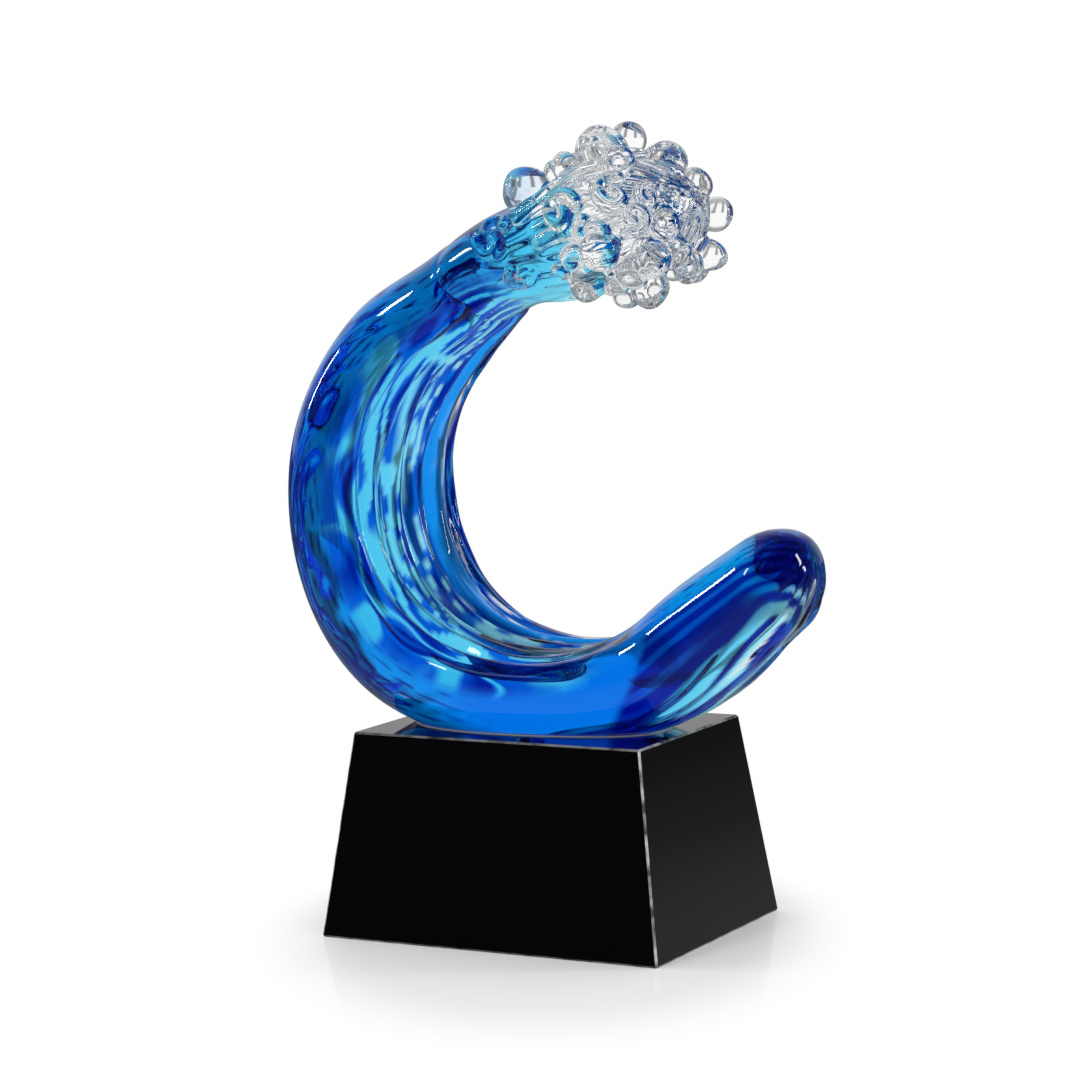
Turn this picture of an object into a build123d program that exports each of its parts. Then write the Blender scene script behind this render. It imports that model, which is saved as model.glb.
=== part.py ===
from build123d import *
import os
from math import cos, exp, pi, radians, sin, sqrt

# Cased-glass wave on a black crystal block, in millimetres.
# The origin is the middle of the block's underside, X runs along the block's long side,
# Y runs from its front to its back and Z is up.
# The wave is one long gather of hot glass: it is bent in an upright ring, swells to a lobe at its
# low end and to a foaming crest at its high end, and stands on a flat that was ground on its foot.

# Base block
base_width = 116.0
base_depth = 87.0
base_height = 63.5
base_draft = 7.7
base_chamfer = 0.6

# Clear adhesive between the block and the ground foot
bond_thickness = 0.3

# Ring that the wave's inner face follows, from its low end to its high end
ring_radius = 54.0
ring_offset = 5.5
foot_thickness = 22.5
grind_depth = 5.5
lobe_angle = -42.0
lobe_length = 54.5
lobe_bend = 170.0
lobe_nose = 17.5
heel_angle = 45.0
belly_angle = 90.0
shoulder_angle = 130.0
neck_angle = 152.0
crest_angle = 176.0
crest_length = 62.5
crest_bend = 150.0
crest_nose = 23.0

# Thickness of the glass, from the inner face outward
lobe_tip_thickness = 27.5
lobe_thickness = 32.5
lobe_root_thickness = 34.5
heel_thickness = 36.5
belly_thickness = 35.5
shoulder_thickness = 31.0
neck_thickness = 28.0
crest_root_thickness = 31.5
crest_thickness = 39.0
crest_tip_thickness = 34.0

# How far the glass sags out of the ring at the heel, and how far the other parts hang or are lifted into it
heel_sag = 2.8
shoulder_hang = 2.4
neck_hang = 3.5
lobe_root_lift = 1.6
lobe_lift = 1.5
lobe_tip_lift = 3.2

# Width of the glass, from front to back
lobe_tip_width = 40.0
lobe_width = 46.0
lobe_root_width = 54.0
foot_width = 64.0
belly_width = 66.0
shoulder_width = 60.0
neck_width = 56.0
crest_width = 58.0
crest_tip_width = 54.0

# Share of the thickness at which the section is widest: half is an oval, less is flatter on the inner face
oval_rim = 0.5
lobe_root_rim = 0.46
body_rim = 0.3

# Power that rounds the inner face from front to back: 1 is a plain ellipse, less is flatter
oval_face = 1.0
lobe_root_face = 0.9
body_face = 0.6
side_power = 0.9
outer_power = 0.95

# Rolled-over back edge of the inner face, and the flutes that waver along that face:
# the crease sharpens their valleys, the sway and the fan are in radians, the run is a length along the wave
back_lip = 3.5
flute_count = 6
flute_depth = 1.8
flute_crease = 0.22
flute_sway = 1.3
flute_run = 30.0
flute_fan = 2.2

# Blue core inside the clear casing, with thicker clear glass under the lobe
core_wall = 3.2
core_back_wall = 4.2
core_inner_wall = 4.2
core_heel_angle = -15.0
core_heel_wall = 4.5
core_lobe_wall = 9.0
core_lobe_tip_wall = 12.0
core_lobe_gap = 11.0
core_lobe_nose = 24.0
core_crest_reach = 46.0
core_crest_nose = 38.0
core_tip_lean = 1 / 6
ground_spread_angle = 30.0

# Foam on the crest: beads pressed on hot, drops drawn out on a stalk, rods rolled into curls
# and strands laid along
bead_lift = 0.45
drop_root = 2.0
stalk_root_share = 1.15
stalk_top_share = 0.75
curl_lift = 0.55
curl_rod_share = 0.31
curl_gap = 0.25
strand_lift = 0.2

# Gap left between curved faces that are fused in the real glass
fuse_gap = 0.05

# Sections of the lofts: points on the outer and the inner side, counts along each run,
# angles that round an end off
core_points = (8, 10)
casing_points = (8, 36)
crest_points = (8, 8)
core_sections = 9
casing_sections = 14
crest_sections = 6
nose_angles = (75, 55, 33, 10)

foot_level = base_height + bond_thickness
ring_height = foot_level + foot_thickness + ring_radius


def ring(degrees):
    """Distance along the ring from its lowest point, for an angle measured up its left side."""
    return ring_radius * radians(degrees)


lobe_start = ring(lobe_angle)
lobe_end = lobe_start - lobe_length
lobe_middle = lobe_start - lobe_length / 2
foot = ring(0)
heel = ring(heel_angle)
belly = ring(belly_angle)
shoulder = ring(shoulder_angle)
neck_start = ring(neck_angle)
crest_start = ring(crest_angle)
crest_end = crest_start + crest_length
crest_middle = crest_start + crest_length / 2
core_start = lobe_end + core_lobe_gap
core_end = neck_start + core_crest_reach

# Rows of place along the wave and size there
thickness_rows = [
    (lobe_end, lobe_tip_thickness),
    (lobe_middle, lobe_thickness),
    (lobe_start, lobe_root_thickness),
    (foot, foot_thickness + grind_depth),
    (heel, heel_thickness),
    (belly, belly_thickness),
    (shoulder, shoulder_thickness),
    (neck_start, neck_thickness),
    (crest_start, crest_root_thickness),
    (crest_middle, crest_thickness),
    (crest_end, crest_tip_thickness),
]
width_rows = [
    (lobe_end, lobe_tip_width),
    (lobe_middle, lobe_width),
    (lobe_start, lobe_root_width),
    (foot, foot_width),
    (belly, belly_width),
    (shoulder, shoulder_width),
    (neck_start, neck_width),
    (crest_middle, crest_width),
    (crest_end, crest_tip_width),
]
rim_rows = [
    (lobe_end, oval_rim),
    (lobe_start, lobe_root_rim),
    (foot, body_rim),
    (shoulder, body_rim),
    (crest_start, oval_rim),
    (crest_end, oval_rim),
]
face_rows = [
    (lobe_end, oval_face),
    (lobe_start, lobe_root_face),
    (foot, body_face),
    (shoulder, body_face),
    (crest_start, oval_face),
    (crest_end, oval_face),
]
# Strength of the lip and the flutes, which die out at both ends
ripple_rows = [
    (lobe_end, 0.0),
    (lobe_start, 0.0),
    (foot, 0.75),
    (heel, 1.0),
    (belly, 1.0),
    (shoulder, 0.9),
    (neck_start, 0.4),
    (crest_start, 0.0),
    (crest_end, 0.0),
]
# Shift of the whole section, outward from the ring
shift_rows = [
    (lobe_end, -lobe_tip_lift),
    (lobe_middle, -lobe_lift),
    (lobe_start, -lobe_root_lift),
    (foot, 0.0),
    (heel, heel_sag),
    (belly, 0.0),
    (shoulder, -shoulder_hang),
    (neck_start, -neck_hang),
    (crest_start, 0.0),
    (crest_end, 0.0),
]
# Clear glass outside the core
under_rows = [
    (lobe_end, core_lobe_tip_wall),
    (lobe_start, core_lobe_wall),
    (ring(core_heel_angle), core_heel_wall),
    (foot, core_wall),
    (crest_start, core_wall),
    (crest_end, core_wall),
]


def along(rows, place):
    """Size at a place: cubic steps between the rows, with the slope of each row's neighbours."""
    last = len(rows) - 1
    index = max(i for i in range(last) if i == 0 or rows[i][0] <= place)

    def slope(i):
        before, after = rows[max(i - 1, 0)], rows[min(i + 1, last)]
        return (after[1] - before[1]) / (after[0] - before[0])

    (start, low), (stop, high) = rows[index], rows[index + 1]
    step = stop - start
    t = min(max((place - start) / step, 0.0), 1.0)
    rise = t * t * (3 - 2 * t)
    return low + (high - low) * rise + step * t * (1 - t) * ((1 - t) * slope(index) - t * slope(index + 1))


def frame_at(place):
    """Plane across the wave: its X is the depth, its Y points outward from the inner face."""
    on_ring = min(max(place, lobe_start), crest_start)
    past = place - on_ring
    bend = lobe_bend if past < 0 else crest_bend
    angle = on_ring / ring_radius
    turned = angle - past / bend
    out = Vector(-sin(angle), 0, -cos(angle))
    out_turned = Vector(-sin(turned), 0, -cos(turned))
    point = Vector(ring_offset, 0, ring_height) + out * ring_radius + (out - out_turned) * bend
    return Plane(origin=point, x_dir=(0, 1, 0), z_dir=Vector(-cos(turned), 0, sin(turned)))


def closing(place, low_end, low_nose, high_end, high_nose):
    """Round closing of both ends: 1 along the run, falling as a quarter ellipse to 0 at each end."""
    into = max((low_end + low_nose - place) / low_nose, (place - high_end + high_nose) / high_nose, 0.0)
    return sqrt(max(1 - into * into, 0.0))


def rounded(place, turn, low, high):
    """Share of the half width, and distance outward, of a section between an inner and an outer level:
    turn 0 is the back edge, 90 degrees the outer side, 180 the front edge."""
    rim = along(rim_rows, place) * along(thickness_rows, place)
    across, out = cos(turn), sin(turn)
    share = (1 if across > 0 else -1) * abs(across) ** side_power
    if out >= 0:
        deep = rim + (high - rim) * out**outer_power
    else:
        deep = rim - (rim - low) * (-out) ** along(face_rows, place)
    roll = max(share, 0.0)
    return share, deep - back_lip * along(ripple_rows, place) * roll * roll * (3 - 2 * roll)


def flute(place, turn, share):
    """Depth of the flutes on the inner face: a wave across it that sways along it, with creased valleys."""
    phase = pi * flute_count * share + flute_sway * sin(place / flute_run + flute_fan * share)
    depth = flute_depth * along(ripple_rows, place) * min(sin(turn), 0.0) ** 2
    return depth * (cos(phase) + flute_crease * cos(2 * phase))


def glass_outline(place, turn, grow=0.0):
    """Point of the glass section, with its flutes."""
    thick = along(thickness_rows, place)
    half = along(width_rows, place) / 2
    share, deep = rounded(place, turn, 0.0, thick)
    deep += flute(place, turn, share)
    close = closing(place, lobe_end, lobe_nose, crest_end, crest_nose)
    depth = half * share * close + grow * cos(turn)
    level = thick / 2 + along(shift_rows, place)
    return depth, level + (deep - thick / 2) * close + grow * sin(turn)


def foam_bed(place, turn):
    """Point of the crest's surface, grown by the gap under the foam."""
    return glass_outline(place, turn, fuse_gap)


def core_outline(place, turn, grow=0.0):
    """Point of the core's section: the glass drawn in by its walls, and by what is ground off at the foot."""
    thick = along(thickness_rows, place)
    half = along(width_rows, place) / 2
    ground = grind_depth * exp(-((place / ring(ground_spread_angle)) ** 2))
    low, high = core_inner_wall, thick - along(under_rows, place) - ground
    share, deep = rounded(place, turn, low, high)
    side = half - (core_back_wall if share > 0 else core_wall)
    close = closing(place, core_start, core_lobe_nose, core_end, core_crest_nose)
    middle = (low + high) / 2 + (high - low) * core_tip_lean * (1 - close)
    level = middle + along(shift_rows, place)
    return side * share * close + grow * cos(turn), level + (deep - middle) * close + grow * sin(turn)


def core_pocket(place, turn):
    """Point of the pocket that the core lies in."""
    return core_outline(place, turn, fuse_gap)


def section(outline, place, points):
    """Closed face of one section, with its own count of points on the outer and the inner side."""
    outer, inner = points
    turns = [pi * i / outer for i in range(outer)] + [pi + pi * i / inner for i in range(inner)]
    return frame_at(place) * make_face(Spline(*[outline(place, turn) for turn in turns], periodic=True))


def spot(outline, place, turn):
    """Point in space of an outline."""
    across, deep = outline(place, turn)
    return frame_at(place).from_local_coords(Vector(across, deep, 0))


def nose_places(end, nose, toward):
    """Places of the sections that round off an end, closer together towards its tip."""
    return [end + toward * nose * (1 - sin(radians(angle))) for angle in nose_angles]


def make_glass(places, outline, points, low_tip=None, high_tip=None):
    """Loft through sections, closed to a point at either end where a tip is given."""
    sections = [section(outline, place, points) for place in places]
    if low_tip is not None:
        sections = [Vertex(*spot(outline, low_tip, 0))] + sections
    if high_tip is not None:
        sections = sections + [Vertex(*spot(outline, high_tip, 0))]
    return loft(sections)


def steps(start, stop, count):
    """Evenly spaced places from start to stop, both included."""
    return [start + (stop - start) * i / (count - 1) for i in range(count)]


# Glass of the wave
core_places = nose_places(core_start, core_lobe_nose, 1)
core_places += steps(core_start + core_lobe_nose, core_end - core_crest_nose, core_sections)
core_places += reversed(nose_places(core_end, core_crest_nose, -1))
blue_core = make_glass(core_places, core_outline, core_points, core_start, core_end)
pocket = make_glass(core_places, core_pocket, core_points, core_start, core_end)

casing_places = nose_places(lobe_end, lobe_nose, 1)
casing_places += steps(lobe_end + lobe_nose, neck_start, casing_sections)
casing = make_glass(casing_places, glass_outline, casing_points, low_tip=lobe_end)
foot_corner = (Align.CENTER, Align.CENTER, Align.MAX)
ground_box = Box(4 * ring_radius, 2 * foot_width, foot_level, align=foot_corner)
clear_casing = casing - Pos(ring_offset, 0, foot_level) * ground_box - pocket

crest_places = steps(neck_start, crest_end - crest_nose, crest_sections)
crest_places += reversed(nose_places(crest_end, crest_nose, -1))
crest_solid = make_glass(crest_places, glass_outline, crest_points, high_tip=crest_end)
foam_seat = make_glass(crest_places, foam_bed, crest_points, high_tip=crest_end)
crest_gather = crest_solid - pocket

# Block and adhesive
block = extrude(Rectangle(base_width, base_depth), amount=base_height, taper=base_draft)
base_block = chamfer(block.edges(), base_chamfer)
foot_face = clear_casing.faces().sort_by(Axis.Z)[0]
bond_film = extrude(foot_face, amount=bond_thickness, dir=(0, 0, -1))


def seat(past_neck, degrees):
    """Plane on the crest's glass, Z straight out of it, X along the wave."""
    place = neck_start + past_neck
    turn = radians(degrees)
    step = 0.05
    forward = spot(glass_outline, place + step, turn) - spot(glass_outline, place - step, turn)
    around = spot(glass_outline, place, turn + step) - spot(glass_outline, place, turn - step)
    return Plane(origin=spot(glass_outline, place, turn), x_dir=forward, z_dir=around.cross(forward))


def bead(radius):
    """Round bead, pressed on hot."""
    return Pos(0, 0, bead_lift * radius) * Sphere(radius)


def drop(radius, height):
    """Drop drawn out of the glass: a stalk with a ball at its end."""
    rise = height - radius
    upright = (Align.CENTER, Align.CENTER, Align.MIN)
    stalk = Cone(radius * stalk_root_share, radius * stalk_top_share, rise + drop_root, align=upright)
    return Pos(0, 0, -drop_root) * stalk + Pos(0, 0, rise) * Sphere(radius)


def rod_along(path, radius):
    """Round rod along a path, with round ends."""
    tube = sweep(Plane(origin=path @ 0, z_dir=path % 0) * Circle(radius), path=path)
    return tube + Pos(*(path @ 0)) * Sphere(radius) + Pos(*(path @ 1)) * Sphere(radius)


def curl(radius):
    """Rod of glass rolled up in one full turn, as two half circles."""
    rod = radius * curl_rod_share
    wide = radius - rod
    tight = wide - rod - curl_gap
    rolled = CenterArc((0, 0), wide, 0, 180) + CenterArc((tight - wide, 0), tight, 180, 180)
    return Pos(0, 0, curl_lift * rod) * rod_along(Wire(rolled.edges()), rod)


def strand(spots, radius):
    """Thin rod that lies along the crest, bent through three places on it."""
    planes = [seat(past_neck, degrees) for past_neck, degrees in spots]
    lifted = [plane.from_local_coords(Vector(0, 0, strand_lift * radius)) for plane in planes]
    return rod_along(ThreePointArc(*lifted), radius)


# Name, form, distance past the neck, degrees round the section, turn on its seat, sizes
foam_rows = [
    ("left_curl", curl, 24.5, 167, 40, (7.4,)),
    ("left_knob", drop, 32.0, 118, 0, (7.4, 9.2)),
    ("hook_curl", curl, 31.0, 209, 150, (5.4,)),
    ("ridge_bead", bead, 38.5, 97, 0, (4.2,)),
    ("ridge_ball", bead, 51.0, 121, 0, (4.4,)),
    ("front_curl", curl, 53.5, 171, 20, (7.2,)),
    ("top_knob", drop, 64.0, 110, 0, (8.2, 9.6)),
    ("tall_knob", drop, 65.0, 80, 0, (5.8, 10.6)),
    ("top_bead", bead, 69.0, 58, 0, (4.0,)),
    ("crown_curl", curl, 71.5, 163, 70, (7.2,)),
    ("brow_knob", drop, 78.5, 78, 0, (6.4, 7.4)),
    ("brow_finger", drop, 79.5, 24, 0, (5.4, 5.8)),
    ("far_ball", drop, 80.0, 332, 0, (5.4, 8.0)),
    ("reaching_finger", drop, 74.5, 296, 0, (5.0, 9.6)),
    ("nose_curl", curl, 79.6, 172, 0, (5.4,)),
    ("star_knob", drop, 79.3, 216, 0, (4.6, 6.0)),
    ("nose_bead", bead, 75.5, 246, 0, (5.4,)),
    ("cheek_bead", bead, 61.5, 208, 0, (5.8,)),
    ("lower_curl", curl, 49.5, 211, 200, (6.8,)),
    ("lip_bead", bead, 50.7, 231, 0, (6.0,)),
    ("lip_drip", drop, 57.0, 240, 0, (5.2, 7.0)),
    ("front_drip", drop, 64.5, 237, 0, (5.6, 7.4)),
    ("chin_ball", drop, 70.5, 236, 0, (5.4, 8.0)),
    ("chin_drip", drop, 61.5, 264, 0, (5.8, 9.6)),
    ("right_bead", bead, 72.0, 272, 0, (5.4,)),
    ("gap_curl", curl, 62.0, 190, 120, (6.0,)),
    ("inner_curl", curl, 73.5, 195, 240, (5.6,)),
    ("brow_bead", bead, 72.0, 128, 0, (5.0,)),
    ("back_knob", drop, 40.0, 50, 0, (5.6, 8.0)),
    ("back_curl", curl, 50.0, 10, 30, (6.4,)),
    ("back_bead", bead, 64.0, 18, 0, (5.0,)),
    ("back_drip", drop, 58.0, 318, 0, (4.6, 9.0)),
    ("back_ball", drop, 27.0, 76, 0, (5.6, 7.2)),
    ("back_swirl", curl, 68.0, 350, 100, (5.4,)),
    ("back_lip_bead", bead, 47.0, 302, 0, (5.0,)),
    ("back_chin", drop, 68.0, 300, 0, (4.6, 8.0)),
    ("back_ridge_bead", bead, 55.0, 62, 0, (4.6,)),
    ("back_hook", curl, 35.0, 16, 200, (5.2,)),
    ("back_cheek_bead", bead, 58.0, 344, 0, (5.0,)),
    ("under_drip", drop, 51.0, 272, 0, (4.4, 7.0)),
]

# Name, three places as distance past the neck and degrees round the section, radius
strand_rows = [
    ("upper_strand", ((34, 158), (54, 148), (68, 138)), 2.2),
    ("ridge_strand", ((40, 142), (54, 133), (64, 128)), 1.9),
    ("lower_strand", ((42, 188), (51, 187), (58, 197)), 2.2),
    ("back_strand", ((44, 34), (54, 36), (66, 36)), 2.2),
    ("back_low_strand", ((40, 348), (48, 338), (56, 330)), 2.2),
]

blanks = {}
for name, form, past_neck, degrees, spin, sizes in foam_rows:
    blanks[name] = seat(past_neck, degrees) * Rot(0, 0, spin) * form(*sizes)
for name, spots, radius in strand_rows:
    blanks[name] = strand(spots, radius)

# Each piece is pressed on the crest and on the pieces that were there before it
foam = {}
for name, blank in blanks.items():
    piece = blank - foam_seat
    for earlier in foam.values():
        if piece.bounding_box().overlaps(earlier.bounding_box()):
            piece = piece - earlier
    foam[name] = piece.solids().sort_by(SortBy.VOLUME)[-1]

pieces = {
    "base_block": base_block,
    "bond_film": bond_film,
    "clear_casing": clear_casing,
    "blue_core": blue_core,
    "crest_gather": crest_gather,
}
pieces.update(("foam_" + name, piece) for name, piece in foam.items())

os.makedirs("parts", exist_ok=True)
for name, piece in pieces.items():
    export_step(piece, os.path.join("parts", name + ".step"))
    print(name, len(piece.solids()), round(piece.volume, 1))
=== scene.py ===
# %% [markdown]
# # A glass wave on a black block
#
# The real object is an art-glass wave: a thick gather of blue glass, cased in clear glass, bent into a ring
# while hot, finished with a crest of clear foam and stuck on a block of black crystal. Glass has no texture
# to hide behind: what the eye reads as sparkle is refraction at a rippled surface, and what it reads as
# trails is colour inside the glass. So most of this lesson goes into shapes and into where the colour lies.
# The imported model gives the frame, in metres.

import bpy
import numpy as np
from mathutils import Matrix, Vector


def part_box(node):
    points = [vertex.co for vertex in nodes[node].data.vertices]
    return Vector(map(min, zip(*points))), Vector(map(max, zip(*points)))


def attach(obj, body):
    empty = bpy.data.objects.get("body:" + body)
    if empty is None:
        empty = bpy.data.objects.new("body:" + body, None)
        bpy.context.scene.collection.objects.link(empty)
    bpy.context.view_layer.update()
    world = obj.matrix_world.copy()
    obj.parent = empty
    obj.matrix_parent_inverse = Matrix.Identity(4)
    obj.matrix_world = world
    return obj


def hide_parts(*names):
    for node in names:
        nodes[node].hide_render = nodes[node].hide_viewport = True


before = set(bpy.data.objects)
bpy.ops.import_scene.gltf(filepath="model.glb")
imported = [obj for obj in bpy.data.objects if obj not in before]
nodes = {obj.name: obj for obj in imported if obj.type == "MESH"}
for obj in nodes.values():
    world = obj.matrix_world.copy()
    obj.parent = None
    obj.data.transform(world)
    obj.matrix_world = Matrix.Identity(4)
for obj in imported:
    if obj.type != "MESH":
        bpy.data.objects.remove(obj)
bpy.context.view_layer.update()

MM = 0.001
block_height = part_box("base_block")[1].z / MM
print("nodes", len(nodes), "block height", round(block_height, 1), "mm")

# %% [markdown]
# ## Camera
#
# The camera could be placed by eye, but the block has straight edges, so its corners fix the view: from the
# right of the front, a little above, with a long lens that is turned by a degree and a half.

# %% Camera
VIEW_AZIMUTH, VIEW_ELEVATION, VIEW_ROLL = np.radians([28.286, 6.279, 1.486])
VIEW_LENS, VIEW_SENSOR = 116.667, 36.0
VIEW_SHIFT_RIGHT, VIEW_SHIFT_UP, VIEW_DISTANCE = -3.923, 120.106, 1097.032
VIEW_CLIP = 0.01, 50.0

scene = bpy.context.scene


def direction(azimuth, elevation):
    """Unit direction from the object, in radians: azimuth from the front to the right, elevation up."""
    along_floor = np.cos(elevation)
    return np.array([np.sin(azimuth) * along_floor, -np.cos(azimuth) * along_floor, np.sin(elevation)])


def set_up(piece, x, y, z, spot):
    """Camera or lamp put at a spot, with its axes along x, y and z."""
    turned = np.eye(4)
    turned[:3] = np.stack([x, y, z, spot], -1)
    piece.matrix_world = Matrix(turned.tolist())
    scene.collection.objects.link(piece)


back = direction(VIEW_AZIMUTH, VIEW_ELEVATION)
level = np.array([np.cos(VIEW_AZIMUTH), np.sin(VIEW_AZIMUTH), 0.0])
upright = np.cross(back, level)
right = np.cos(VIEW_ROLL) * level - np.sin(VIEW_ROLL) * upright
up = np.sin(VIEW_ROLL) * level + np.cos(VIEW_ROLL) * upright
place = (VIEW_SHIFT_RIGHT * right + VIEW_SHIFT_UP * up + VIEW_DISTANCE * back) * MM

camera = bpy.data.objects.new("camera", bpy.data.cameras.new("camera"))
camera.data.lens, camera.data.sensor_width = VIEW_LENS, VIEW_SENSOR
camera.data.clip_start, camera.data.clip_end = VIEW_CLIP
set_up(camera, right, up, back, place)
scene.camera = camera
print("camera at", place.round(3))

# %% [markdown]
# ## The shape of the wave
#
# The wave is one formula: a section carried along a path. The path is an upright ring that bends the other
# way at both ends. The section is an oval with a round outer side and a flat inner face. A few rows of sizes
# say how thick and how wide the glass is along the way, how its face is fluted and where it sags. The same
# formula serves the clear skin, the blue core and the places of the foam, so that all of them fit.

# %% Sizes along the wave
RING_RADIUS, RING_OFFSET = 54.0, 5.5
FOOT_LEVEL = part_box("clear_casing")[0].z / MM
FOOT_THICKNESS, GRIND_DEPTH = 22.5, 5.5
RING_HEIGHT = FOOT_LEVEL + FOOT_THICKNESS + RING_RADIUS
LOBE_LENGTH, LOBE_BEND, LOBE_NOSE = 54.3, 170.0, 17.5
CREST_LENGTH, CREST_BEND, CREST_NOSE = 62.5, 150.0, 23.0


def ring(degrees):
    """Distance along the ring from its lowest point, in millimetres."""
    return RING_RADIUS * np.radians(degrees)


LOBE_START, NECK_START, CREST_START = ring(-42.0), ring(152.0), ring(176.0)
LOBE_END, CREST_END = LOBE_START - LOBE_LENGTH, CREST_START + CREST_LENGTH
LOBE_MIDDLE, CREST_MIDDLE = LOBE_START - LOBE_LENGTH / 2, CREST_START + CREST_LENGTH / 2

THICKNESS = [(LOBE_END, 27.5), (LOBE_MIDDLE, 32.5), (LOBE_START, 34.5), (0, FOOT_THICKNESS + GRIND_DEPTH),
             (ring(45), 36.5), (ring(90), 35.5), (ring(130), 31), (NECK_START, 28), (CREST_START, 31.5),
             (CREST_MIDDLE, 39), (CREST_END, 34)]
WIDTH = [(LOBE_END, 40), (LOBE_MIDDLE, 46), (LOBE_START, 54), (0, 64), (ring(90), 66), (ring(130), 60),
         (NECK_START, 56), (CREST_MIDDLE, 58), (CREST_END, 54)]
RIM = [(LOBE_END, 0.5), (LOBE_START, 0.46), (0, 0.3), (ring(130), 0.3), (CREST_START, 0.5),
       (CREST_END, 0.5)]
FACE = [(LOBE_END, 1.0), (LOBE_START, 0.9), (0, 0.6), (ring(130), 0.6), (CREST_START, 1.0),
        (CREST_END, 1.0)]
RIPPLE = [(LOBE_END, 0), (LOBE_START, 0), (0, 0.75), (ring(45), 1), (ring(90), 1), (ring(130), 0.9),
          (NECK_START, 0.4), (CREST_START, 0), (CREST_END, 0)]
SHIFT = [(LOBE_END, -3.2), (LOBE_MIDDLE, -1.5), (LOBE_START, -1.6), (0, 0), (ring(45), 2.8), (ring(90), 0),
         (ring(130), -2.4), (NECK_START, -3.5), (CREST_START, 0), (CREST_END, 0)]
BACK_LIP, FLUTE_COUNT, FLUTE_DEPTH, FLUTE_CREASE = 3.5, 6, 1.8, 0.22
FLUTE_SWAY, FLUTE_RUN, FLUTE_FAN = 1.3, 30.0, 2.2
ACROSS_POWER, OUTER_POWER = 0.9, 0.95


def along(rows, at):
    """Sizes at places along the wave: cubic steps between rows, with each slope from a row's neighbours."""
    spot, size = np.array(rows, float).T
    row = np.arange(len(spot))
    low, high = np.maximum(row - 1, 0), np.minimum(row + 1, row[-1])
    slope = (size[high] - size[low]) / (spot[high] - spot[low])
    k = np.clip(np.searchsorted(spot, at, side="right") - 1, 0, len(spot) - 2)
    step = spot[k + 1] - spot[k]
    t = np.clip((at - spot[k]) / step, 0, 1)
    bulge = step * t * (1 - t) * ((1 - t) * slope[k] - t * slope[k + 1])
    return size[k] + (size[k + 1] - size[k]) * smooth(t) + bulge


def path(at):
    """Points and outward directions along the inner face: a ring, with arcs at its ends that bend back."""
    on_ring = np.clip(at, LOBE_START, CREST_START)
    past = at - on_ring
    bend = np.where(past < 0, LOBE_BEND, CREST_BEND)
    angle = on_ring / RING_RADIUS
    turn = angle - past / bend
    out = np.stack([-np.sin(angle), 0 * angle, -np.cos(angle)], -1)
    out_turned = np.stack([-np.sin(turn), 0 * turn, -np.cos(turn)], -1)
    centre = np.array([RING_OFFSET, 0.0, RING_HEIGHT])
    return centre + RING_RADIUS * out + bend[..., None] * (out - out_turned), out_turned


def smooth(t):
    """Smooth step from 0 to 1."""
    t = np.clip(t, 0, 1)
    return t * t * (3 - 2 * t)


def rise(value, start, stop):
    """Smooth step of a value: 0 at start, 1 at stop."""
    return smooth((value - start) / (stop - start))


def closing(at, low_end, low_nose, high_end, high_nose):
    """Round closing of both ends: 1 along the run, falling as a quarter ellipse to 0 at each end."""
    into = np.maximum((low_end + low_nose - at) / low_nose, (at - high_end + high_nose) / high_nose)
    return np.sqrt(np.maximum(1 - np.maximum(into, 0) ** 2, 0))


def flute_phase(at, share):
    """Phase of the flutes: whole turns across the face, which sway along the wave and fan out."""
    return np.pi * FLUTE_COUNT * share + FLUTE_SWAY * np.sin(at / FLUTE_RUN + FLUTE_FAN * share)


def section(at, turn):
    """Depth, distance from the inner face and thickness, before closing, for places by turns round it."""
    thick, half = along(THICKNESS, at), along(WIDTH, at) / 2
    rim, boxy, strength = along(RIM, at) * thick, along(FACE, at), along(RIPPLE, at)
    across, out = np.cos(turn), np.sin(turn)
    share = np.sign(across) * np.abs(across) ** ACROSS_POWER
    outer = rim + (thick - rim) * np.maximum(out, 0) ** OUTER_POWER
    inner = rim * (1 - np.maximum(-out, 0) ** boxy)
    phase = flute_phase(at, share)
    flute = np.cos(phase) + FLUTE_CREASE * np.cos(2 * phase)
    inner = inner + FLUTE_DEPTH * strength * np.minimum(out, 0) ** 2 * flute
    deep = np.where(out >= 0, outer, inner) - BACK_LIP * strength * smooth(np.maximum(share, 0))
    return half * share, deep, thick


def lay_out(at, depth, deep):
    """Points in space, in millimetres, from a place, a depth and a distance from the inner face."""
    spot, out = path(at)
    points = spot + deep[..., None] * out
    points[..., 1] = depth
    return points


print("wave runs", round(CREST_END - LOBE_END), "mm along its inner face")

# %% [markdown]
# ## Meshes from grids
#
# A surface with two parameters becomes a mesh by laying quads between neighbouring rows of points. Here
# every tube closes on itself round the section, and its two ends come together in one point each.

# %% Mesh helpers
def new_piece(name, points, faces, material):
    """Mesh object from points in millimetres and faces, smooth shaded, at the origin."""
    mesh = bpy.data.meshes.new(name)
    mesh.from_pydata((points * MM).tolist(), [], faces)
    mesh.polygons.foreach_set("use_smooth", np.ones(len(mesh.polygons), bool))
    mesh.materials.append(material)
    mesh.update()
    piece = bpy.data.objects.new(name, mesh)
    scene.collection.objects.link(piece)
    return piece


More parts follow.
